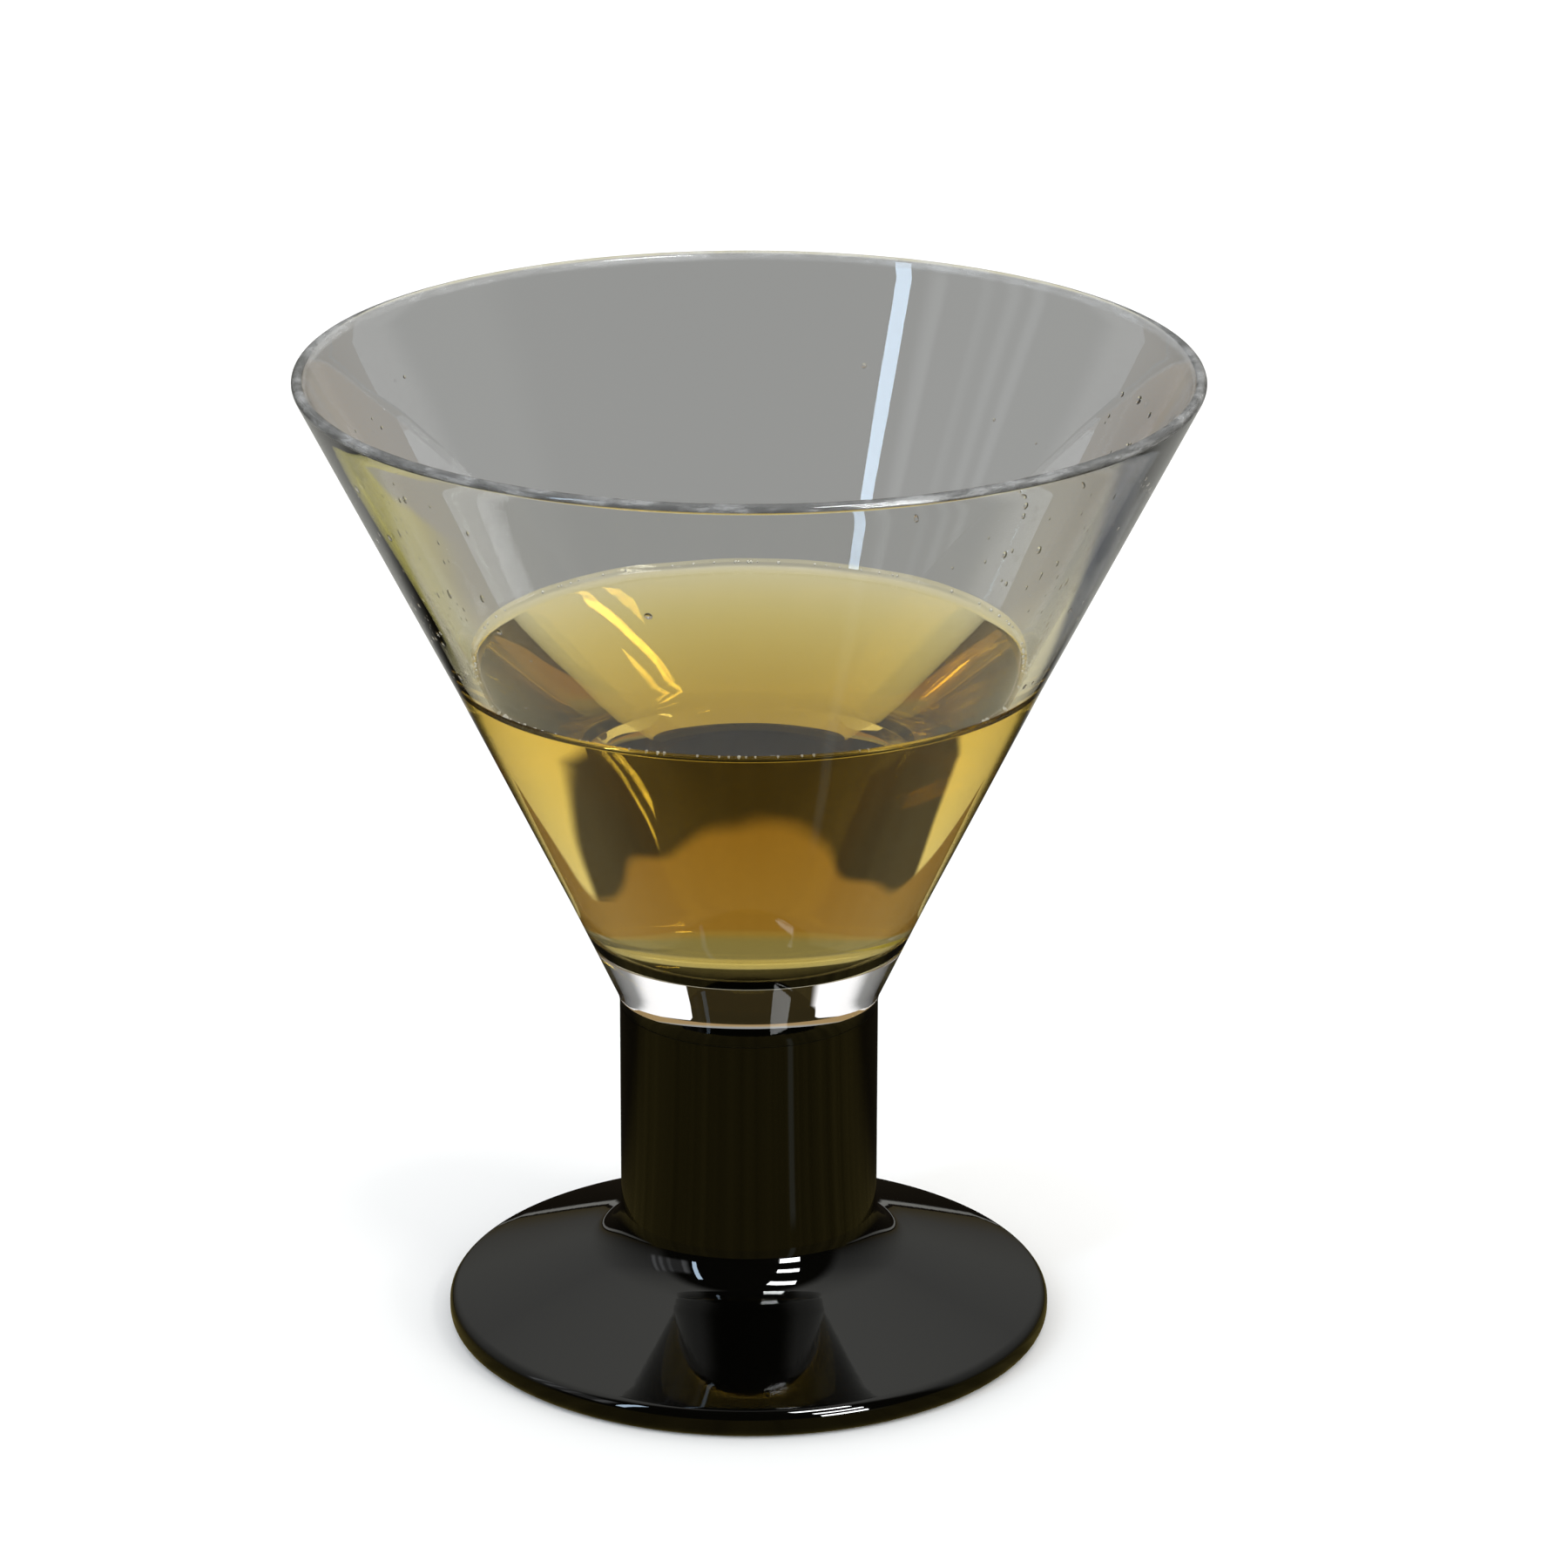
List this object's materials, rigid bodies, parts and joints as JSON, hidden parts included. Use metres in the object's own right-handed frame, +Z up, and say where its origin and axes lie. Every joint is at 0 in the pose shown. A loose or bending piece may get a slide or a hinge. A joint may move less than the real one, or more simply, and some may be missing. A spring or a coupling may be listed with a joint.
{
  "type": "martini glass",
  "caption": "Cone-shaped clear glass bowl with a thick base on a short, wide black stem and a round black foot, part filled with an amber drink.",
  "frame": {"origin": "centre of the foot's underside, on the plane that the glass stands on", "axes": "+Z up the axis of the glass, from the foot to the rim; the glass is the same all round"},
  "size_m": [0.1058, 0.1058, 0.1195],
  "materials": {
    "clear_glass": "polished",
    "black_stem_glass": "polished",
    "black_foot_glass": "polished",
    "amber_drink": "gloss"
  },
  "bodies": {
    "root": {"bowl": "clear_glass", "stem": "black_stem_glass", "foot": "black_foot_glass", "drink": "amber_drink"}
  },
  "joints": []
}
